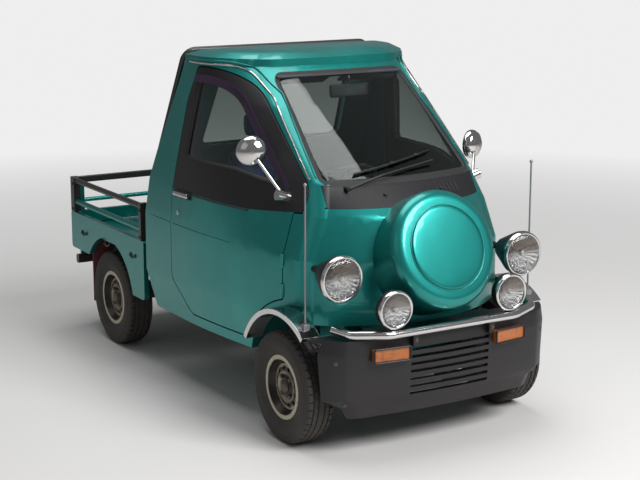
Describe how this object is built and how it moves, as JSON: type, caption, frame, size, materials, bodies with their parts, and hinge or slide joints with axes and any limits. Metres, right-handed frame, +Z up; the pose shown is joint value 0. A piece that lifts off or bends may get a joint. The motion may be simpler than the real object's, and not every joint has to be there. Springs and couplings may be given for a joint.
{
  "type": "kei pickup truck",
  "caption": "Small single-seat pickup truck with a rounded nose, spare wheel cover in front, hinged doors, steered wheels and a drop-side bed with a hinged tailgate.",
  "frame": {"origin": "on the ground under the middle of the overall box", "axes": "front faces -Y, the vehicle's left is +X, up is +Z"},
  "size_m": [1.3257, 2.8007, 1.6499],
  "materials": {
    "body_paint": "metallic teal, glossy",
    "black_panel": "satin black",
    "black_paint": "satin black",
    "bright_metal": "bright plated",
    "window_glass": "clear, slightly green",
    "lamp_glass": "clear fluted",
    "amber_lens": "amber",
    "red_lens": "red",
    "tyre_rubber": "worn black",
    "wheel_paint": "dull silver beige",
    "frame_paint": "dull black",
    "cast_metal": "dull, dusty",
    "bare_steel": "dull",
    "flap_rubber": "faded red brown",
    "seat_cloth": "blue grey woven",
    "dash_plastic": "dark grey grained"
  },
  "bodies": {
    "chassis": {"ladder_frame": "frame_paint", "cab_floor": "body_paint", "front_panel": "body_paint", "spare_cover": "body_paint", "cowl": "black_panel", "fenders": "body_paint", "windscreen_pillars": "body_paint", "cab_sides": "body_paint", "cab_back": "body_paint", "roof": "body_paint", "cab_glass": "window_glass", "front_lamps": "black_panel", "lamp_lenses": "lamp_glass", "turn_signals": "amber_lens", "tail_lamps": "red_lens", "bumper_pipe": "bright_metal", "front_skirt": "black_panel", "arch_trims": "bright_metal", "corner_poles": "black_panel", "wiper": "black_panel", "bed_floor": "body_paint", "bed_sides": "body_paint", "bed_rack": "black_paint", "rear_bumper": "black_paint", "guard_hoop": "black_paint", "mud_flaps": "flap_rubber", "engine": "cast_metal", "fuel_tank": "frame_paint", "exhaust": "bare_steel", "rear_axle": "frame_paint", "leaf_springs": "frame_paint", "front_suspension": "frame_paint", "seat": "seat_cloth", "dashboard": "dash_plastic"},
    "door_left": {"door_left": "body_paint", "door_frame_left": "black_panel", "door_glass_left": "window_glass", "mirror_left": "bright_metal"},
    "door_right": {"door_right": "body_paint", "door_frame_right": "black_panel", "door_glass_right": "window_glass", "mirror_right": "bright_metal"},
    "tailgate": {"tailgate": "body_paint", "tailgate_bar": "black_paint"},
    "knuckle_left": {"knuckle_left": "frame_paint"},
    "knuckle_right": {"knuckle_right": "frame_paint"},
    "wheel_fl": {"tyre_fl": "tyre_rubber", "rim_fl": "wheel_paint"},
    "wheel_fr": {"tyre_fr": "tyre_rubber", "rim_fr": "wheel_paint"},
    "wheel_rl": {"tyre_rl": "tyre_rubber", "rim_rl": "wheel_paint"},
    "wheel_rr": {"tyre_rr": "tyre_rubber", "rim_rr": "wheel_paint"},
    "steering_wheel": {"steering_wheel": "dash_plastic"}
  },
  "joints": [
    {"name": "steer_right", "type": "hinge", "parent": "chassis", "child": "knuckle_right", "pos_m": [-0.455, -0.96, 0.25], "axis": [0, 0, 1], "range_deg": [-32, 32]},
    {"name": "steer_left", "type": "hinge", "parent": "chassis", "child": "knuckle_left", "pos_m": [0.455, -0.96, 0.25], "axis": [0, 0, 1], "range_deg": [-32, 32]},
    {"name": "steering_wheel_turn", "type": "hinge", "parent": "chassis", "child": "steering_wheel", "pos_m": [-0.11, -0.6, 1.04], "axis": [0, 0.6157, 0.788], "range_deg": [-480, 480]},
    {"name": "wheel_fl_spin", "type": "hinge", "parent": "knuckle_left", "child": "wheel_fl", "pos_m": [0.56, -0.96, 0.25], "axis": [1, 0, 0], "continuous": true},
    {"name": "wheel_fr_spin", "type": "hinge", "parent": "knuckle_right", "child": "wheel_fr", "pos_m": [-0.56, -0.96, 0.25], "axis": [1, 0, 0], "continuous": true},
    {"name": "wheel_rl_spin", "type": "hinge", "parent": "chassis", "child": "wheel_rl", "pos_m": [0.56, 0.88, 0.25], "axis": [1, 0, 0], "continuous": true},
    {"name": "wheel_rr_spin", "type": "hinge", "parent": "chassis", "child": "wheel_rr", "pos_m": [-0.56, 0.88, 0.25], "axis": [1, 0, 0], "continuous": true},
    {"name": "door_left_swing", "type": "hinge", "parent": "chassis", "child": "door_left", "pos_m": [0.5565, -0.865, 0.8], "axis": [0, 0, -1], "range_deg": [0, 65]},
    {"name": "door_right_swing", "type": "hinge", "parent": "chassis", "child": "door_right", "pos_m": [-0.5565, -0.865, 0.8], "axis": [0, 0, 1], "range_deg": [0, 65]},
    {"name": "tailgate_drop", "type": "hinge", "parent": "chassis", "child": "tailgate", "pos_m": [0, 1.391, 0.57], "axis": [-1, 0, 0], "range_deg": [0, 170]}
  ],
  "couplings": [
    {"joint": "steer_left", "follows": "steer_right", "ratio": 1},
    {"joint": "steering_wheel_turn", "follows": "steer_right", "ratio": 15}
  ]
}
